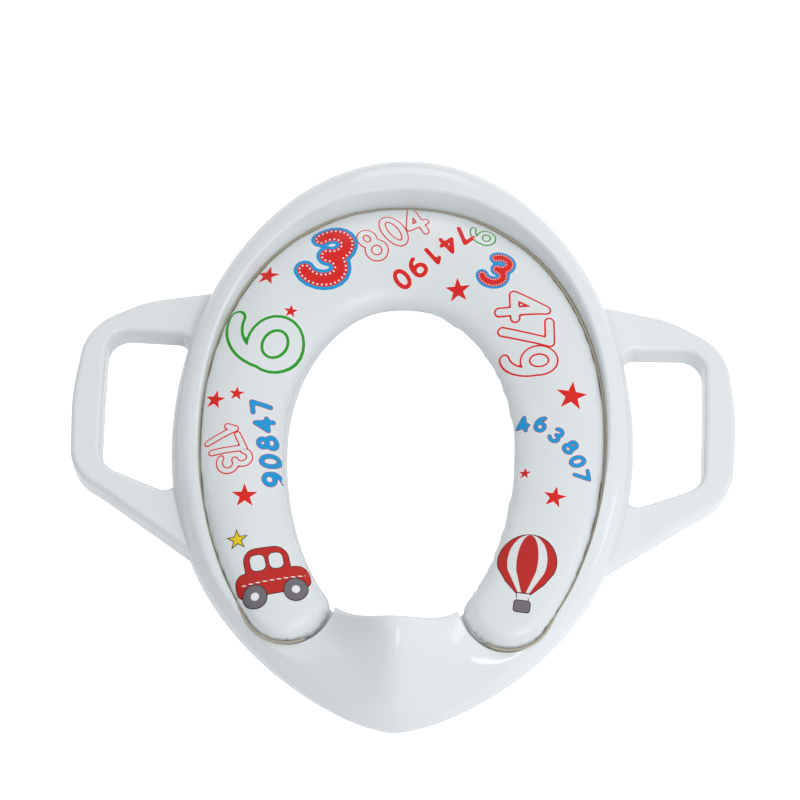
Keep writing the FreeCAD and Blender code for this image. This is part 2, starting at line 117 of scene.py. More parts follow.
def open_cell_foam():
    """Slabstock polyurethane foam: a matt cream face of small open cells."""
    material, tree, shader, place = new_material("open_cell_foam")
    cells = add(tree, "ShaderNodeTexVoronoi", {"Vector": place, "Scale": 1 / FOAM_CELL})
    bump = add(tree, "ShaderNodeBump",
               {"Height": cells.outputs["Distance"], "Strength": 0.6, "Distance": 0.0004})
    tone = add(tree, "ShaderNodeMix",
               {SHARE: cells.outputs["Distance"], LOW: linear("#CFC29A"), HIGH: linear("#E9DFC0")},
               data_type="RGBA")
    tree.links.new(tone.outputs[MIXED], shader.inputs["Base Color"])
    tree.links.new(bump.outputs["Normal"], shader.inputs["Normal"])
    shader.inputs["Roughness"].default_value = 0.95
    return material


def calendered_vinyl():
    """Soft PVC sheet over foam: a semi-gloss skin with a fine press grain and slow waves."""
    material, tree, shader, place = new_material("calendered_vinyl")
    cloud = add(tree, "ShaderNodeTexNoise", {"Vector": place, "Scale": 22.0, "Detail": 3.0})
    tone = add(tree, "ShaderNodeMix",
               {SHARE: cloud.outputs["Fac"], LOW: linear("#E4E9EA"), HIGH: linear("#E9EEEE")},
               data_type="RGBA")
    gloss = add(tree, "ShaderNodeMapRange", {"Value": cloud.outputs["Fac"], "To Min": 0.27, "To Max": 0.36})
    grain = add(tree, "ShaderNodeTexNoise", {"Vector": place, "Scale": 1400.0, "Detail": 2.0})
    wave = add(tree, "ShaderNodeTexNoise", {"Vector": place, "Scale": 60.0, "Detail": 1.0})
    coarse = add(tree, "ShaderNodeBump",
                 {"Height": wave.outputs["Fac"], "Strength": 0.12, "Distance": 0.001})
    bump = add(tree, "ShaderNodeBump",
               {"Height": grain.outputs["Fac"], "Strength": 0.08, "Distance": 0.0002,
                "Normal": coarse.outputs["Normal"]})
    tree.links.new(tone.outputs[MIXED], shader.inputs["Base Color"])
    tree.links.new(gloss.outputs["Result"], shader.inputs["Roughness"])
    tree.links.new(bump.outputs["Normal"], shader.inputs["Normal"])
    shader.inputs["IOR"].default_value = 1.53
    return material


def gap_shade_vinyl():
    """Olive-grey vinyl for the bead in the cushion's gap, with a soft gloss: its dark olive tone is painted
    shade of the crevice between cushion and wall.
    """
    material, tree, shader, place = new_material("gap_shade_vinyl")
    cloud = add(tree, "ShaderNodeTexNoise", {"Vector": place, "Scale": 90.0, "Detail": 2.0})
    # The two olive tones are painted shade of the gap between the cushion and its recess wall.
    tone = add(tree, "ShaderNodeMix",
               {SHARE: cloud.outputs["Fac"], LOW: linear("#A69E88"), HIGH: linear("#BDB6A2")},
               data_type="RGBA")
    tree.links.new(tone.outputs[MIXED], shader.inputs["Base Color"])
    shader.inputs["Roughness"].default_value = 0.45
    return material


def screen_ink(name, code):
    """Vinyl ink laid on by screen: full, flat colour with a faint mottle and little gloss of its own."""
    material, tree, shader, place = new_material(name)
    mottle = add(tree, "ShaderNodeTexNoise", {"Vector": place, "Scale": 300.0, "Detail": 2.0})
    full = linear(code)
    thin = tuple(c + 0.012 * (1 - c) for c in full[:3]) + (1.0,)
    tone = add(tree, "ShaderNodeMix", {SHARE: mottle.outputs["Fac"], LOW: full, HIGH: thin},
               data_type="RGBA")
    tree.links.new(tone.outputs[MIXED], shader.inputs["Base Color"])
    shader.inputs["Roughness"].default_value = 0.35
    shader.inputs["Specular IOR Level"].default_value = 0.25
    return material


def thermoplastic_rubber():
    """Injection-moulded TPR: matt grey with fine cross ribs for grip."""
    material, tree, shader, place = new_material("thermoplastic_rubber")
    rib = add(tree, "ShaderNodeTexWave", {"Vector": place, "Scale": WAVE_LENGTH / RIB_SPACING},
              bands_direction="Y")
    dust = add(tree, "ShaderNodeTexNoise", {"Vector": place, "Scale": 500.0})
    bump = add(tree, "ShaderNodeBump",
               {"Height": rib.outputs["Fac"], "Strength": 0.5, "Distance": 0.0004})
    tone = add(tree, "ShaderNodeMix",
               {SHARE: dust.outputs["Fac"], LOW: linear("#989DA3"), HIGH: linear("#A6ABB0")},
               data_type="RGBA")
    tree.links.new(tone.outputs[MIXED], shader.inputs["Base Color"])
    tree.links.new(bump.outputs["Normal"], shader.inputs["Normal"])
    shader.inputs["Roughness"].default_value = 0.7
    return material


def dress(node, material):
    """Gives a node of the frame its one material."""
    data = nodes[node].data
    data.materials.clear()
    data.materials.append(material)


dress("seat_shell", gloss_polypropylene())
dress("cushion_foam", open_cell_foam())
dress("cushion_base", matt_polypropylene())
rubber = thermoplastic_rubber()
for name in nodes:
    if name.startswith("anti_slip_pad"):
        dress(name, rubber)

# The cushion, in metres. It sits turned a little in its recess, and its opening a little more.
MID_Y = -0.00275
CUSHION_HALF_WIDTH = 0.1219
CUSHION_REAR = 0.1534
CUSHION_REAR_POWER = 2.15
CUSHION_FRONT_REACH = 0.1742
CUSHION_END_X = 0.0645
CUSHION_END_Y = -0.1085
CUSHION_END_RADIUS = 0.0265
CUSHION_PIVOT = Vector((0.0, -0.115))
CUSHION_TURN = math.radians(0.15)
HOLE_TURN = math.radians(1.2)
HOLE_HALF_WIDTH = 0.0682
HOLE_MID_Y = -0.008
HOLE_REAR = 0.0930
HOLE_FRONT = 0.120
CUSHION_FOOT = 0.0385
CUSHION_CROWN = 0.0535

# Width of the roll and the height it starts at, round the outside and round the opening
OUTER_EDGE = (0.0065, 0.0455)
HOLE_EDGE = (0.0180, 0.0425)
ROLL_STEPS = 6

# Turns in degrees at which the outline has its points: outer side, round end, opening
SIDE_TURNS = range(90, -42, -3)
END_TURNS = range(-27, -175, -9)
HOLE_TURNS = range(-54, 91, 3)


def turned(x, y, turn):
    """A place turned about the cushion's pivot, in the frame of the part."""
    moved = Matrix.Rotation(turn, 2) @ (Vector((x, y)) - CUSHION_PIVOT) + CUSHION_PIVOT
    return (moved.x, moved.y + MID_Y)


def cushion_outline():
    """The closed line round the cushion seen from above and, at each point, its roll and shoulder."""
    sides = {1: [], -1: []}
    for side, points in sides.items():
        for degrees in SIDE_TURNS:
            across, along = max(0.0, math.cos(math.radians(degrees))), math.sin(math.radians(degrees))
            if along >= 0:
                power = 2 / CUSHION_REAR_POWER
                x, y = CUSHION_HALF_WIDTH * across ** power, CUSHION_REAR * along ** power
            else:
                x, y = CUSHION_HALF_WIDTH * across, CUSHION_FRONT_REACH * along
            points.append((turned(side * x, y, CUSHION_TURN), *OUTER_EDGE))
        for degrees in END_TURNS:
            turn = math.radians(degrees)
            share = (END_TURNS[0] - degrees) / (END_TURNS[0] - END_TURNS[-1])
            edge = [(1 - share) * a + share * b for a, b in zip(OUTER_EDGE, HOLE_EDGE)]
            x = CUSHION_END_X + CUSHION_END_RADIUS * math.cos(turn)
            y = CUSHION_END_Y + CUSHION_END_RADIUS * math.sin(turn)
            points.append((turned(side * x, y, CUSHION_TURN), *edge))
        for degrees in HOLE_TURNS:
            across, along = max(0.0, math.cos(math.radians(degrees))), math.sin(math.radians(degrees))
            reach = HOLE_REAR if along >= 0 else HOLE_FRONT
            place = turned(side * HOLE_HALF_WIDTH * across, HOLE_MID_Y + reach * along, HOLE_TURN)
            points.append((place, *HOLE_EDGE))
    return sides[1] + sides[-1][-2:0:-1]


def inset(points, by):
    """The closed line moved inwards by a distance at each point; it runs clockwise."""
    moved = []
    for i, (x, y) in enumerate(points):
        before, after = points[i - 1], points[(i + 1) % len(points)]
        along = Vector((after[0] - before[0], after[1] - before[1])).normalized()
        moved.append((x + by[i] * along.y, y - by[i] * along.x))
    return moved


def new_piece(name, data):
    """A new object in the scene."""
    piece = bpy.data.objects.new(name, data)
    bpy.context.scene.collection.objects.link(piece)
    return piece


def closed_tube(name, rings):
    """Mesh data of the solid through rings of points, with a face over each end."""
    mesh = bmesh.new()
    loops = [[mesh.verts.new(point) for point in ring] for ring in rings]
    count = len(rings[0])
    for lower, upper in zip(loops, loops[1:]):
        for i in range(count):
            j = (i + 1) % count
            mesh.faces.new((lower[j], lower[i], upper[i], upper[j]))
    mesh.faces.new(loops[0])
    mesh.faces.new(list(reversed(loops[-1])))
    bmesh.ops.recalc_face_normals(mesh, faces=mesh.faces)
    data = bpy.data.meshes.new(name)
    mesh.to_mesh(data)
    mesh.free()
    return data


def cushion_block():
    """The filling before it swells: a closed block with a rolled upper edge."""
    outline, rolls, shoulders = zip(*cushion_outline())
    rings = [[(x, y, CUSHION_FOOT) for x, y in outline]]
    for step in range(ROLL_STEPS + 1):
        turn = 0.5 * math.pi * step / ROLL_STEPS
        points = inset(outline, [roll * (1 - math.cos(turn)) for roll in rolls])
        heights = [shoulder + (CUSHION_CROWN - shoulder) * math.sin(turn) for shoulder in shoulders]
        rings.append([(x, y, z) for (x, y), z in zip(points, heights)])
    return new_piece("vinyl_cushion", closed_tube("vinyl_cushion", rings))


def apply_modifiers(piece):
    """The piece's mesh becomes what its modifiers make, and they are removed."""
    graph = bpy.context.evaluated_depsgraph_get()
    made = bpy.data.meshes.new_from_object(piece.evaluated_get(graph))
    piece.modifiers.clear()
    old = piece.data
    piece.data = made
    bpy.data.meshes.remove(old)


# Swelling of the filled cushion: pressure, frames of simulation, share that is kept of a move
# sideways, and the furthest that a point may move
SWELL_PRESSURE = 4.0
SWELL_FRAMES = 20
SWELL_SIDEWAYS = 0.25
SWELL_CAP = 0.004


def swell(piece):
    """Air pressure crowns the block as its filling does."""
    start = [v.co.copy() for v in piece.data.vertices]
    pins = piece.vertex_groups.new(name="seated")
    pins.add([v.index for v in piece.data.vertices if v.co.z < CUSHION_FOOT + 0.001], 1.0, "REPLACE")
    cloth = piece.modifiers.new("swell", "CLOTH")
    cloth.settings.quality = 6
    cloth.settings.mass = 0.3
    cloth.settings.use_pressure = True
    cloth.settings.uniform_pressure_force = SWELL_PRESSURE
    cloth.settings.effector_weights.gravity = 0.0
    cloth.settings.vertex_group_mass = "seated"
    for frame_number in range(1, SWELL_FRAMES + 1):
        bpy.context.scene.frame_set(frame_number)
    apply_modifiers(piece)
    for vertex, rest in zip(piece.data.vertices, start):
        move = vertex.co - rest
        move.x, move.y = SWELL_SIDEWAYS * move.x, SWELL_SIDEWAYS * move.y
        if move.length > SWELL_CAP:
            move *= SWELL_CAP / move.length
        vertex.co = rest + move


# Gathers where the sheet is turned in round each front end. They fade in from GATHER_START forwards
# and between the two heights, and stay clear of the middle of the end.
GATHER_COUNT = 26
GATHER_DEPTH = 0.0011
GATHER_LOW = 0.041
GATHER_HIGH = 0.050
GATHER_START = -0.055
GATHER_FADE = 0.03
GATHER_CLEAR = 0.5 * CUSHION_END_RADIUS
GATHER_JITTER = 0.22


def gather(piece):
    """Presses small uneven pleats into the lower outer edge of both front ends."""
    for vertex in piece.data.vertices:
        x, y, z = vertex.co
        side = math.copysign(1.0, x)
        away = Vector((x - side * CUSHION_END_X, y - CUSHION_END_Y - MID_Y))
        if y > GATHER_START or z < CUSHION_FOOT + 0.0005 or away.length < GATHER_CLEAR:
            continue
        reach = min(1.0, (GATHER_START - y) / GATHER_FADE)
        turn = math.atan2(away.y, away.x)
        rim = min(1.0, max(0.0, (GATHER_HIGH - z) / (GATHER_HIGH - GATHER_LOW)))
        rim = rim * rim * (3 - 2 * rim)
        jitter = noise.noise(Vector((3.1 * turn, side, 0.0)))
        pleat = math.sin(GATHER_COUNT * (turn + GATHER_JITTER * jitter))
        strength = 0.35 + 0.65 * max(0.0, noise.noise(Vector((2.3 * turn, 7.0 * side, 4.0))) + 0.4)
        depth = GATHER_DEPTH * reach * rim * strength * (0.5 - 0.5 * pleat) ** 2
        vertex.co.xy -= away.normalized() * depth


cushion = cushion_block()
remesh = cushion.modifiers.new("even_mesh", "REMESH")
remesh.mode = "VOXEL"
remesh.voxel_size = 0.004
apply_modifiers(cushion)
swell(cushion)
calm = cushion.modifiers.new("calm", "SMOOTH")
calm.factor = 0.5
calm.iterations = 7
finer = cushion.modifiers.new("finer", "SUBSURF")
finer.levels = 2
finer.render_levels = 2
apply_modifiers(cushion)
gather(cushion)
cushion.data.shade_smooth()
cushion.data.materials.append(calendered_vinyl())
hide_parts("cushion_cover", "cushion_foam")
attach(cushion, "root")

# Dark bead laid in the gap where the sheet meets the wall of its recess, round the outside and the front
# ends: painted shade of that crevice.
# It stops where the roll has grown to this share of the one round the opening.
SHADE_BEAD_RADIUS = 0.0009
SHADE_BEAD_SIDES = 8
SHADE_BEAD_Z = 0.0462
SHADE_BEAD_OUT = 0.0001
SHADE_BEAD_END_SHARE = 0.8


def shade_bead():
    """A dark bead that follows the outer line of the cushion, with closed ends: painted shade in the gap.
    """
    outline = cushion_outline()
    line = inset([point for point, _, _ in outline], [-SHADE_BEAD_OUT] * len(outline))
    half = outline[:len(outline) // 2]
    last = sum(1 for _, roll, _ in half if roll < SHADE_BEAD_END_SHARE * HOLE_EDGE[0])
    line = line[-(last - 1):] + line[:last]
    rings = []
    for i, (x, y) in enumerate(line):
        ahead, behind = line[min(i + 1, len(line) - 1)], line[max(i - 1, 0)]
        along = Vector((ahead[0] - behind[0], ahead[1] - behind[1])).normalized()
        ring = []
        for step in range(SHADE_BEAD_SIDES):
            turn = 2 * math.pi * step / SHADE_BEAD_SIDES
            out, up = SHADE_BEAD_RADIUS * math.cos(turn), SHADE_BEAD_RADIUS * math.sin(turn)
            ring.append((x + out * along.y, y - out * along.x, SHADE_BEAD_Z + up))
        rings.append(ring)
    return new_piece("gap_shade_bead", closed_tube("gap_shade_bead", rings))


# The bead and its olive colour are painted shade of the gap round the cushion.
bead = shade_bead()
bead.data.shade_smooth()
bead.data.materials.append(gap_shade_vinyl())
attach(bead, "root")

# Print on the cushion. Places are seen from above, from the middle of the part, in metres.
INKS = {
    "white": "#F4F3F5", "red": "#E21C14", "crimson": "#C4241F", "blue": "#0A9CDC", "green": "#1CA012",
    "yellow": "#F0D410", "grey": "#757075", "dark": "#2C2224",
}

# Thickness of a layer of ink, drawn thick enough that the layers don't meet, and how far it is sunk
LAYER = 0.00007
SUNK = 0.0004

# Side of the grid that a flat shape is cut to, and the least upward slope that still takes ink
CELL = 0.001
STEEPEST = 0.22

# White ground that shows round a print, dark line round a filled picture, and the sharpest mitre
HALO = 0.0006
OUTLINE = 0.0005
SHARPEST = 0.35

skin = BVHTree.FromObject(cushion, bpy.context.evaluated_depsgraph_get())
prints = {ink: ([], []) for ink in [*INKS, "bare"]}


def press(flat, ink, level):
    """Lays a flat mesh on the cushion as a closed plate of ink; what reaches past the edge is left out."""
    places, normals = {}, {}
    for vertex in flat.verts:
        place, normal, _, _ = skin.ray_cast(Vector((vertex.co.x, vertex.co.y, 0.2)), Vector((0, 0, -1)))
        if place is not None and normal.z > STEEPEST:
            places[vertex], normals[vertex] = place, normal
    bmesh.ops.delete(flat, geom=[v for v in flat.verts if v not in places], context="VERTS")
    flat.verts.index_update()
    points, faces = prints[ink]
    first, count = len(points), len(flat.verts)
    points += [places[v] + normals[v] * LAYER * level for v in flat.verts]
    points += [places[v] - normals[v] * SUNK for v in flat.verts]
    for face in flat.faces:
        ring = [first + v.index for v in face.verts]
        faces.append(ring)
        faces.append([i + count for i in reversed(ring)])
    for edge in flat.edges:
        if edge.is_boundary:
            loop = edge.link_loops[0]
            a, b = first + loop.vert.index, first + loop.link_loop_next.vert.index
            faces.append([b, a, a + count, b + count])
    flat.free()


def cut_to_grid(flat):
    """Cuts a flat mesh along a square grid so that it can follow the cushion."""
    for axis in (0, 1):
        low = min(v.co[axis] for v in flat.verts)
        high = max(v.co[axis] for v in flat.verts)
        normal = Vector((1.0, 0.0, 0.0)) if axis == 0 else Vector((0.0, 1.0, 0.0))
        for step in range(math.ceil(low / CELL), math.floor(high / CELL) + 1):
            parts = flat.verts[:] + flat.edges[:] + flat.faces[:]
            place = normal * step * CELL
            bmesh.ops.bisect_plane(flat, geom=parts, dist=1e-6, plane_co=place, plane_no=normal)
    bmesh.ops.triangulate(flat, faces=flat.faces[:])


def print_shape(points, ink, level, place, turn=0.0):
    """Prints one closed outline, given anticlockwise round its own middle."""
    flat = bmesh.new()
    spin = Matrix.Rotation(math.radians(turn), 2)
    corners = [spin @ Vector(point) + Vector(place) for point in points]
    flat.faces.new([flat.verts.new((corner.x, corner.y, 0.0)) for corner in corners])
    cut_to_grid(flat)
    press(flat, ink, level)


def widened(points, by):
    """A closed outline, given anticlockwise, moved outwards."""
    moved = []
    for i, point in enumerate(points):
        here = Vector(point)
        back = (here - Vector(points[i - 1])).normalized()
        ahead = (Vector(points[(i + 1) % len(points)]) - here).normalized()
        out = Vector((back.y + ahead.y, -back.x - ahead.x)).normalized()
        share = max(SHARPEST, out.dot(Vector((back.y, -back.x))))
        moved.append(here + out * (by / share))
    return moved


def star(radius):
    """A star of five points, one of them straight up."""
    points = []
    for i in range(10):
        reach = radius if i % 2 == 0 else 0.39 * radius
        angle = math.radians(90 + 36 * i)
        points.append((reach * math.cos(angle), reach * math.sin(angle)))
    return points


def disc(radius, middle, count=28):
    """Points round a circle."""
    turns = [2 * math.pi * i / count for i in range(count)]
    return [(middle[0] + radius * math.cos(t), middle[1] + radius * math.sin(t)) for t in turns]


def arc(x, y, wide, high, start, end, steps=12):
    """Points along part of an oval, in degrees."""
    turns = [math.radians(start + (end - start) * i / steps) for i in range(steps + 1)]
    return [(x + wide * math.cos(t), y + high * math.sin(t)) for t in turns]


# Middle lines of the numerals, one unit high, each a list of strokes
NUMERALS = {
    "0": [arc(0, 0, 0.26, 0.42, 0, 360, 24)],
    "1": [[(-0.14, 0.26), (0.06, 0.42), (0.06, -0.42)]],
    "3": [arc(-0.02, 0.21, 0.24, 0.21, 150, -90) + arc(-0.02, -0.21, 0.29, 0.22, 90, -150)],
    "4": [[(0.12, -0.42), (0.12, 0.42), (-0.30, -0.14), (0.30, -0.14)]],
    "6": [arc(0.16, -0.02, 0.44, 0.46, 100, 190) + arc(0, -0.18, 0.27, 0.25, 170, 530, 24)],
    "7": [[(-0.26, 0.42), (0.28, 0.42), (-0.06, -0.42)]],
    "8": [arc(0, 0.21, 0.21, 0.20, 0, 360, 20), arc(0, -0.20, 0.27, 0.22, 0, 360, 24)],
    "9": [arc(-0.16, 0.02, 0.44, 0.46, -80, 10) + arc(0, 0.18, 0.27, 0.25, -10, 350, 24)],
}


def stroke_region(strokes, radius):
    """The flat mesh of all places nearer to the strokes than a radius, cut by a grid and its edge."""
    ends = [(a, b) for stroke in strokes for a, b in zip(stroke, stroke[1:])]
    starts = np.array([a for a, _ in ends])
    steps = np.array([b for _, b in ends]) - starts
    low = np.floor((np.minimum(starts, starts + steps).min(0) - radius) / CELL) - 1
    high = np.ceil((np.maximum(starts, starts + steps).max(0) + radius) / CELL) + 1
    wide, deep = (high - low).astype(int) + 1
    columns, rows = (low[0] + np.arange(wide)) * CELL, (low[1] + np.arange(deep)) * CELL
    grid_x, grid_y = np.meshgrid(columns, rows, indexing="ij")
    place = np.stack([grid_x, grid_y], -1)[..., None, :] - starts
    share = np.clip((place * steps).sum(-1) / np.maximum((steps ** 2).sum(-1), 1e-12), 0, 1)
    gap = np.sqrt(((place - share[..., None] * steps) ** 2).sum(-1)).min(-1) - radius
    flat = bmesh.new()
    made = {}

    def corner(i, j):
        if (i, j) not in made:
            made[i, j] = flat.verts.new((grid_x[i, j], grid_y[i, j], 0.0))
        return made[i, j]

    def crossing(a, b):
        key = (min(a, b), max(a, b))
        if key not in made:
            first, second = key
            split = gap[first] / (gap[first] - gap[second])
            x = grid_x[first] + split * (grid_x[second] - grid_x[first])
            y = grid_y[first] + split * (grid_y[second] - grid_y[first])
            made[key] = flat.verts.new((x, y, 0.0))
        return made[key]

    for i in range(wide - 1):
        for j in range(deep - 1):
            square = ((i, j), (i + 1, j), (i + 1, j + 1), (i, j + 1))
            ring = []
            for here, following in zip(square, square[1:] + square[:1]):
                if gap[here] < 0:
                    ring.append(corner(*here))
                if (gap[here] < 0) != (gap[following] < 0):
                    ring.append(crossing(here, following))
            if len(ring) > 2:
                flat.faces.new(ring)
    return flat


def placed_strokes(numeral, place, turn, height, narrow, lean=0.0):
    """The strokes of a numeral at its place on the cushion."""
    spin = Matrix.Rotation(math.radians(turn), 2)
    strokes = []
    for stroke in NUMERALS[numeral]:
        points = [spin @ Vector(((x + lean * y) * height * narrow, y * height)) for x, y in stroke]
        strokes.append([tuple(point + Vector(place)) for point in points])
    return strokes


def print_numeral(numeral, place, turn, height, layers, narrow=1.0, lean=0.0):
    """Prints a numeral as layers, each an ink, the half width of its stroke and its level."""
    strokes = placed_strokes(numeral, place, turn, height, narrow, lean)
    for ink, radius, level in layers:
        press(stroke_region(strokes, radius), ink, level)


def dot_tree():
    """Geometry nodes that set a row of dots along the edge of a flat shape."""
    tree = bpy.data.node_groups.new("stitch_dots", "GeometryNodeTree")
    tree.interface.new_socket("Geometry", in_out="INPUT", socket_type="NodeSocketGeometry")
    tree.interface.new_socket("Spacing", in_out="INPUT", socket_type="NodeSocketFloat")
    tree.interface.new_socket("Dot radius", in_out="INPUT", socket_type="NodeSocketFloat")
    tree.interface.new_socket("Geometry", in_out="OUTPUT", socket_type="NodeSocketGeometry")
    given = add(tree, "NodeGroupInput")
    beside = add(tree, "GeometryNodeInputMeshEdgeNeighbors")
    edge = add(tree, "FunctionNodeCompare", {2: beside.outputs["Face Count"], 3: 1},
               data_type="INT", operation="EQUAL")
    line = add(tree, "GeometryNodeMeshToCurve",
               {"Mesh": given.outputs["Geometry"], "Selection": edge.outputs[0]})
    paced = add(tree, "GeometryNodeResampleCurve",
                {"Curve": line.outputs[0], "Length": given.outputs["Spacing"]}, mode="LENGTH")
    dot = add(tree, "GeometryNodeMeshCircle", {"Vertices": 8, "Radius": given.outputs["Dot radius"]},
              fill_type="NGON")
    dots = add(tree, "GeometryNodeInstanceOnPoints",
               {"Points": paced.outputs[0], "Instance": dot.outputs[0]})
    real = add(tree, "GeometryNodeRealizeInstances", {"Geometry": dots.outputs[0]})
    inked = add(tree, "GeometryNodeSetMaterial", {"Geometry": real.outputs[0], "Material": inks["white"]})
    add(tree, "NodeGroupOutput", {"Geometry": inked.outputs[0]})
    return tree


def print_dots(numeral, place, turn, height, radius, level):
    """Prints a row of stitch dots that follows both edges of a stitched numeral's stroke."""
    strokes = placed_strokes(numeral, place, turn, height, 1.0, STITCHED_LEAN)
    flat = stroke_region(strokes, STITCH_LINE * radius)
    data = bpy.data.meshes.new("stitches")
    flat.to_mesh(data)
    flat.free()
    piece = new_piece("stitches", data)
    modifier = piece.modifiers.new("dots", "NODES")
    modifier.node_group = DOTS
    sockets = {item.name: item.identifier for item in DOTS.interface.items_tree if item.in_out == "INPUT"}
    modifier[sockets["Spacing"]] = STITCH_SPACING * radius
    modifier[sockets["Dot radius"]] = STITCH_RADIUS * radius
    apply_modifiers(piece)
    flat = bmesh.new()
    flat.from_mesh(piece.data)
    bpy.data.objects.remove(piece)
    bmesh.ops.recalc_face_normals(flat, faces=flat.faces[:])
    if flat.faces[:] and flat.faces[0].normal.z < 0:
        bmesh.ops.reverse_faces(flat, faces=flat.faces[:])
    press(flat, "white", level)


inks = {ink: screen_ink(f"{ink}_screen_ink", code) for ink, code in INKS.items()}
inks["bare"] = cushion.data.materials[0]
DOTS = dot_tree()

# Stars: place, radius, turn
STARS = (
    ((-0.0919, -0.0512), 0.0080, 4), ((0.1004, 0.0210), 0.0100, -5), ((0.0305, 0.0908), 0.0082, 5),
    ((0.0906, -0.0452), 0.0072, -12), ((-0.0867, 0.0963), 0.0074, -14), ((-0.0712, 0.0714), 0.0046, -4),
    ((-0.1007, 0.0148), 0.0050, -4), ((0.0732, -0.0286), 0.0038, -8), ((-0.1135, 0.0110), 0.0064, -12),
)
for place, radius, turn in STARS:
    print_shape(widened(star(radius), HALO), "white", 1, place, turn)
    print_shape(star(radius), "red", 2, place, turn)

# Stitched numerals: numeral, place, turn, height, half width of the stroke, blue edge
STITCHED = (
    ("3", (-0.0500, 0.1095), -10, 0.0385, 0.0045, 0.0022),
    ("3", (0.0543, 0.1044), -22, 0.0225, 0.0026, 0.0015),
)
STITCHED_LEAN = 0.15

# Row of stitches, spacing and dot, as shares of the half width of the stroke
STITCH_LINE = 0.72
STITCH_SPACING = 0.62
STITCH_RADIUS = 0.14
for numeral, place, turn, height, radius, edge in STITCHED:
    layers = (("white", radius + edge + HALO, 1), ("blue", radius + edge, 2), ("red", radius, 3))
    print_numeral(numeral, place, turn, height, layers, lean=STITCHED_LEAN)
    print_dots(numeral, place, turn, height, radius, 4)

# Numerals drawn as an outline: ink, numeral, place, turn, height, narrowing, half width, line
OUTLINED = (
    ("green", "6", (-0.0873, 0.0530), 62, 0.0480, 1.1, 0.0056, 0.0018),
    ("green", "6", (0.0446, 0.1290), 60, 0.0165, 1.0, 0.0021, 0.0009),
    ("red", "4", (0.0700, 0.0800), -86, 0.0340, 0.75, 0.0033, 0.0011),
    ("red", "7", (0.0725, 0.0625), -88, 0.0340, 0.75, 0.0033, 0.0011),
    ("red", "9", (0.0745, 0.0440), -90, 0.0340, 0.75, 0.0033, 0.0011),
    ("red", "8", (-0.0235, 0.1190), 40, 0.0240, 0.8, 0.0024, 0.0008),
    ("red", "0", (-0.0105, 0.1295), 38, 0.0240, 0.8, 0.0024, 0.0008),
    ("red", "4", (0.0025, 0.1375), 30, 0.0240, 0.8, 0.0024, 0.0008),
    ("red", "1", (-0.1085, -0.0120), -60, 0.0220, 0.8, 0.0022, 0.0008),
    ("red", "7", (-0.1045, -0.0205), -62, 0.0220, 0.8, 0.0022, 0.0008),
    ("red", "3", (-0.0990, -0.0290), -64, 0.0220, 0.8, 0.0022, 0.0008),
)
for ink, numeral, place, turn, height, narrow, radius, line in OUTLINED:
    layers = (("white", radius + HALO, 1), (ink, radius, 2), ("bare", radius - line, 3))
    print_numeral(numeral, place, turn, height, layers, narrow)

# Rows of solid numerals: ink, numerals, first and last place, turn, height, half width, hairline
ROWS = (
    ("red", "74190", (-0.0040, 0.0975), (0.0330, 0.1290), 222, 0.0135, 0.0013, 0.0),
    ("blue", "90847", (-0.0758, -0.0385), (-0.0855, 0.0075), 100, 0.0128, 0.00135, 0.0003),
)
for ink, row, start, end, turn, height, radius, hairline in ROWS:
    for i, numeral in enumerate(row):
        share = i / (len(row) - 1)
        if turn > 180:
            share = 1 - share
        place = Vector(start).lerp(Vector(end), share)
        wide = radius + hairline
        layers = (("white", wide + HALO, 1), ("crimson", wide, 2), (ink, radius, 3))
        print_numeral(numeral, place, turn, height, layers)

# Small numerals along an arc: numeral, place, turn
ARC = (
    ("4", (0.0716, 0.0034), 8), ("6", (0.0824, 0.0025), -22), ("3", (0.0915, -0.0050), -42),
    ("8", (0.0999, -0.0125), -52), ("0", (0.1041, -0.0215), -68), ("7", (0.1065, -0.0300), -80),
)
ARC_HEIGHT = 0.0100
ARC_LAYERS = (("white", 0.0014 + HALO, 1), ("crimson", 0.0014, 2), ("blue", 0.0011, 3))
for numeral, place, turn in ARC:
    print_numeral(numeral, place, turn, ARC_HEIGHT, ARC_LAYERS)


def print_ground(points, place, turn):
    """The white ground that shows round an outlined shape."""
    print_shape(widened(points, OUTLINE + HALO), "white", 1, place, turn)


def outlined_shape(points, ink, place, turn, level=2):
    """A filled shape with a dark outline."""
    print_shape(widened(points, OUTLINE), "dark", level, place, turn)
    print_shape(points, ink, level + 1, place, turn)


def print_line(points, place, turn, radius, ink="dark", level=3):
    """An open line with round ends."""
    spin = Matrix.Rotation(math.radians(turn), 2)
    stroke = [tuple(spin @ Vector(point) + Vector(place)) for point in points]
    press(stroke_region([stroke], radius), ink, level)


def rounded_box(left, right, low, high, radius, steps=5):
    """A box with round corners, anticlockwise."""
    points = []
    for x, y, start in ((right - radius, high - radius, 0), (left + radius, high - radius, 90),
                        (left + radius, low + radius, 180), (right - radius, low + radius, 270)):
        points += arc(x, y, radius, radius, start, start + 90, steps)
    return points


def toy_car(place, turn):
    """A little car with two windows and two wheels."""
    body = rounded_box(-0.0215, 0.0215, -0.0125, 0.0020, 0.0055)
    cabin = rounded_box(-0.0145, 0.0115, -0.0040, 0.0160, 0.0075)
    for shape in (body, cabin):
        print_ground(shape, place, turn)
        print_shape(widened(shape, OUTLINE), "dark", 2, place, turn)
    print_shape(body, "crimson", 3, place, turn)
    print_shape(cabin, "crimson", 3.5, place, turn)
    for left, right in ((-0.0110, -0.0025), (0.0000, 0.0080)):
        outlined_shape(rounded_box(left, right, 0.0025, 0.0120, 0.0030), "bare", place, turn, 4)
    for x in (-0.0120, 0.0120):
        wheel = disc(0.0068, (x, -0.0125))
        print_ground(wheel, place, turn)
        outlined_shape(wheel, "grey", place, turn, 5)
        print_shape(disc(0.0024, (x, -0.0125)), "white", 7, place, turn)
    print_line([(-0.0180, -0.0045), (0.0190, -0.0045)], place, turn, 0.0004, "white", 4)


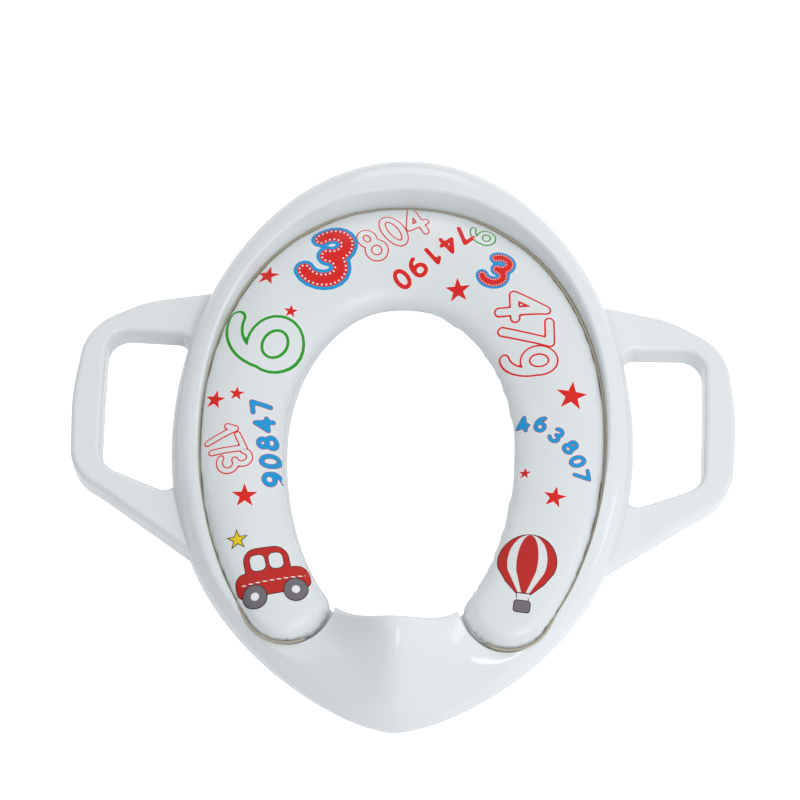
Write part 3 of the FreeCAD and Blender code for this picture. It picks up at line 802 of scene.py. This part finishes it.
def balloon(place, turn):
    """A hot-air balloon with pale gores and a basket."""
    crown = arc(0.0, 0.0060, 0.0170, 0.0165, -20, 200, 26)
    envelope = crown + [(-0.0110, -0.0075), (-0.0045, -0.0140), (0.0045, -0.0140), (0.0110, -0.0075)]
    print_ground(envelope, place, turn)
    outlined_shape(envelope, "crimson", place, turn)
    for side in (-1, 1):
        outer = arc(0.0, 0.0060, 0.0115, 0.0165, 90, -24, 14) + [(0.0034, -0.0138)]
        inner = arc(0.0, 0.0060, 0.0062, 0.0165, -24, 90, 14)
        gore = [(side * x, y) for x, y in outer + [(0.0014, -0.0138)] + inner[:-1]]
        print_shape(gore if side < 0 else list(reversed(gore)), "bare", 4, place, turn)
        print_line([(side * 0.0040, -0.0142), (side * 0.0032, -0.0190)], place, turn, 0.0003)
    basket = rounded_box(-0.0046, 0.0046, -0.0255, -0.0188, 0.0015)
    print_ground(basket, place, turn)
    outlined_shape(basket, "grey", place, turn)


toy_car((-0.0735, -0.0985), 14)
outlined_shape(star(0.0052), "yellow", (-0.0945, -0.0790), 8)
balloon((0.0745, -0.0915), -6)

SHARP_EDGE = math.radians(50)
for ink, (points, faces) in prints.items():
    data = bpy.data.meshes.new(f"print_{ink}")
    data.from_pydata(points, [], faces)
    data.validate()
    data.shade_smooth()
    data.set_sharp_from_angle(angle=SHARP_EDGE)
    data.materials.append(inks[ink])
    layer = new_piece(f"print_{ink}", data)
    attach(layer, "root")

# Studio: floor, lamps, camera
FLOOR_HALF = 6.0

# Glow of the floor in reflections and as the camera sees it, and of the air round the set
GLOW_REFLECTED = 0.45
GLOW_SEEN = 0.8
AIR_GLOW = 0.67


def flat_sheet(name, half_width, half_depth, material):
    """A level rectangle with one material."""
    data = bpy.data.meshes.new(name)
    corners = [(-half_width, -half_depth, 0.0), (half_width, -half_depth, 0.0),
               (half_width, half_depth, 0.0), (-half_width, half_depth, 0.0)]
    data.from_pydata(corners, [], [(0, 1, 2, 3)])
    data.materials.append(material)
    return new_piece(name, data)


def floor_paper():
    """White backdrop paper that takes shadows and glows to the camera and in reflections."""
    material = bpy.data.materials.new("floor_paper")
    material.use_nodes = True
    tree = material.node_tree
    tree.nodes.clear()
    ray = add(tree, "ShaderNodeLightPath")
    seen = add(tree, "ShaderNodeMath", {0: ray.outputs["Is Camera Ray"], 1: ray.outputs["Is Glossy Ray"]},
               operation="MAXIMUM")
    seen = add(tree, "ShaderNodeMath", {0: seen.outputs[0], 1: ray.outputs["Is Transmission Ray"]},
               operation="MAXIMUM")
    paper = add(tree, "ShaderNodeBsdfDiffuse", {"Color": linear("#F2F3F4")})
    strength = add(tree, "ShaderNodeMapRange",
                   {"Value": ray.outputs["Is Camera Ray"], "To Min": GLOW_REFLECTED, "To Max": GLOW_SEEN})
    glow = add(tree, "ShaderNodeEmission", {"Color": (1, 1, 1, 1), "Strength": strength.outputs["Result"]})
    lit = add(tree, "ShaderNodeAddShader", {0: paper.outputs[0], 1: glow.outputs[0]})
    either = add(tree, "ShaderNodeMixShader", {0: seen.outputs[0], 1: paper.outputs[0], 2: lit.outputs[0]})
    add(tree, "ShaderNodeOutputMaterial", {"Surface": either.outputs[0]})
    return material


floor = flat_sheet("floor", FLOOR_HALF, FLOOR_HALF, floor_paper())

world = bpy.data.worlds.new("studio_air")
bpy.context.scene.world = world
world.use_nodes = True
world.node_tree.nodes["Background"].inputs["Color"].default_value = linear("#FBFCFE")
world.node_tree.nodes["Background"].inputs["Strength"].default_value = AIR_GLOW


LAMP_DISTANCE = 1.9
AIM_HEIGHT = 0.04


def look_at_part(piece, azimuth, elevation, distance):
    """Turns a piece's -Z to the part; azimuth 0 is at the viewer's side, 90 to the right."""
    across, up = math.radians(azimuth), math.radians(elevation)
    direction = Vector((math.sin(across) * math.cos(up), -math.cos(across) * math.cos(up), math.sin(up)))
    piece.location = Vector((0.0, 0.0, AIM_HEIGHT)) + distance * direction
    piece.rotation_euler = (-direction).to_track_quat("-Z", "Y").to_euler()


def softbox(name, azimuth, elevation, size, watts, code="#FFFFFF"):
    """A square lamp that faces the part."""
    lamp = bpy.data.lights.new(name, "AREA")
    lamp.shape = "SQUARE"
    lamp.size = size
    lamp.energy = watts
    lamp.color = linear(code)[:3]
    look_at_part(new_piece(name, lamp), azimuth, elevation, LAMP_DISTANCE)


softbox("key_light", 45, 60, 0.6, 5.9)
softbox("front_light", 0, 60, 1.4, 2.8)
softbox("rear_light", 180, 30, 0.8, 3.4)
softbox("side_light", 90, 30, 0.45, 1.5)
softbox("low_front_light", 10, 33, 0.40, 2.2, "#D8E9FF")

# A black card beside the set: it keeps light off the left flanks and darkens their edges
CARD_HALF_WIDTH = 0.7
CARD_HALF_HEIGHT = 0.35
CARD_DISTANCE = 1.0
card_paper = bpy.data.materials.new("black_card_paper")
card_paper.use_nodes = True
card_paper.node_tree.nodes["Principled BSDF"].inputs["Base Color"].default_value = linear("#161616")
card = flat_sheet("black_card", CARD_HALF_WIDTH, CARD_HALF_HEIGHT, card_paper)
card.visible_camera = False
look_at_part(card, 300, 22, CARD_DISTANCE)

CAMERA_ELEVATION = math.radians(66.0)
CAMERA_ROLL = math.radians(2.1)
CAMERA_DISTANCE = 1.4
CAMERA_AIM = Vector((0.0, MID_Y, AIM_HEIGHT))
CAMERA_LENS = 104.43
SENSOR_WIDTH = 36.0

# Shift of the picture, in picture widths
SHIFT_RIGHT = -3 / 800
SHIFT_UP = 37 / 800
camera_data = bpy.data.cameras.new("camera")
camera_data.sensor_width = SENSOR_WIDTH
camera_data.lens = CAMERA_LENS
camera_data.shift_x = SHIFT_RIGHT
camera_data.shift_y = SHIFT_UP
camera = new_piece("camera", camera_data)
forward = Vector((0.0, math.cos(CAMERA_ELEVATION), -math.sin(CAMERA_ELEVATION)))
upright = Matrix.Rotation(math.pi / 2 - CAMERA_ELEVATION, 4, "X")
camera.matrix_world = (Matrix.Translation(CAMERA_AIM - CAMERA_DISTANCE * forward) @ upright
                       @ Matrix.Rotation(CAMERA_ROLL, 4, "Z"))
bpy.context.scene.camera = camera
bpy.context.scene.view_settings.view_transform = "Standard"
